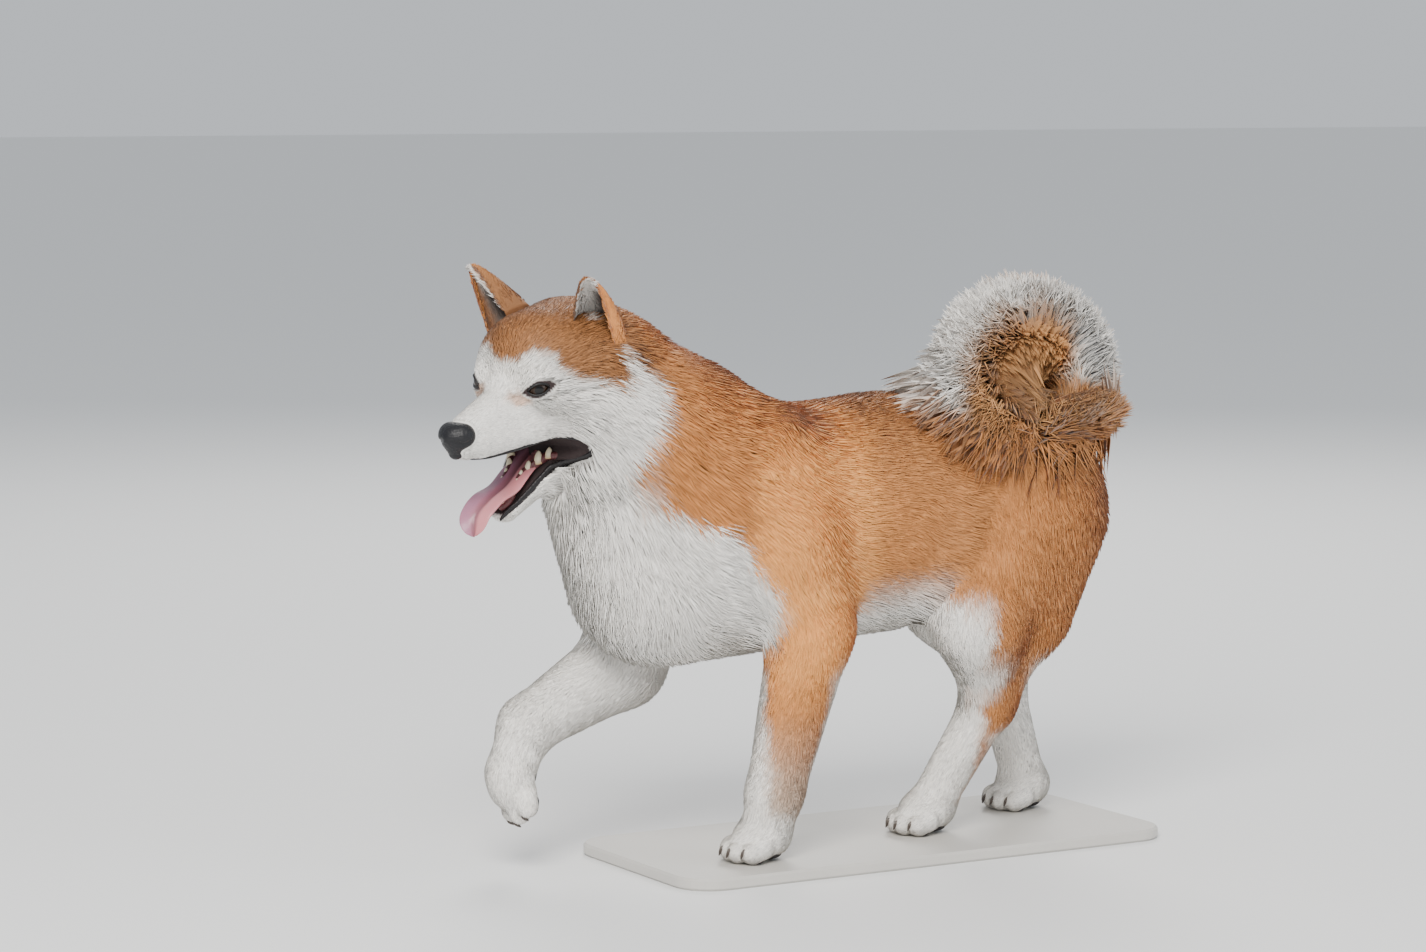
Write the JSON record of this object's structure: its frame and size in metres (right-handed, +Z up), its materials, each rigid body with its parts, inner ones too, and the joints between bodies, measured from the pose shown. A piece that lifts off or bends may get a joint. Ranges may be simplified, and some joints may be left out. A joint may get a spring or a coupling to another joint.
{
  "type": "shiba inu dog model",
  "caption": "Still, life-size model of a red spitz-type dog in mid-stride with a curled bushy tail, on a flat display base.",
  "frame": {"origin": "middle of the bounding box, on the underside of the display base", "axes": "+X from the dog's head to its tail, +Y towards the dog's right side, +Z up"},
  "size_m": [0.6598, 0.21, 0.4984],
  "materials": {
    "red_coat": "dense red guard hair, matt",
    "cream_coat": "dense cream hair, matt",
    "tail_brush": "long standing-off cream and red hair",
    "nose_skin": "moist black pebbled skin",
    "eye": "wet, very dark brown",
    "tongue_skin": "wet pink skin",
    "stand_paint": "satin warm grey paint"
  },
  "bodies": {
    "root": {"torso": "red_coat", "neck": "red_coat", "head": "red_coat", "muzzle": "cream_coat", "lower_jaw": "cream_coat", "tongue": "tongue_skin", "nose": "nose_skin", "eye_left": "eye", "eye_right": "eye", "ear_left": "red_coat", "ear_right": "red_coat", "foreleg_left_shoulder": "red_coat", "foreleg_left_forearm": "red_coat", "foreleg_left_paw": "cream_coat", "foreleg_right_shoulder": "red_coat", "foreleg_right_forearm": "cream_coat", "foreleg_right_paw": "cream_coat", "hindleg_left_thigh": "red_coat", "hindleg_left_shank": "red_coat", "hindleg_left_paw": "cream_coat", "hindleg_right_thigh": "red_coat", "hindleg_right_shank": "red_coat", "hindleg_right_paw": "cream_coat", "tail": "tail_brush", "stand_base": "stand_paint"}
  },
  "joints": []
}
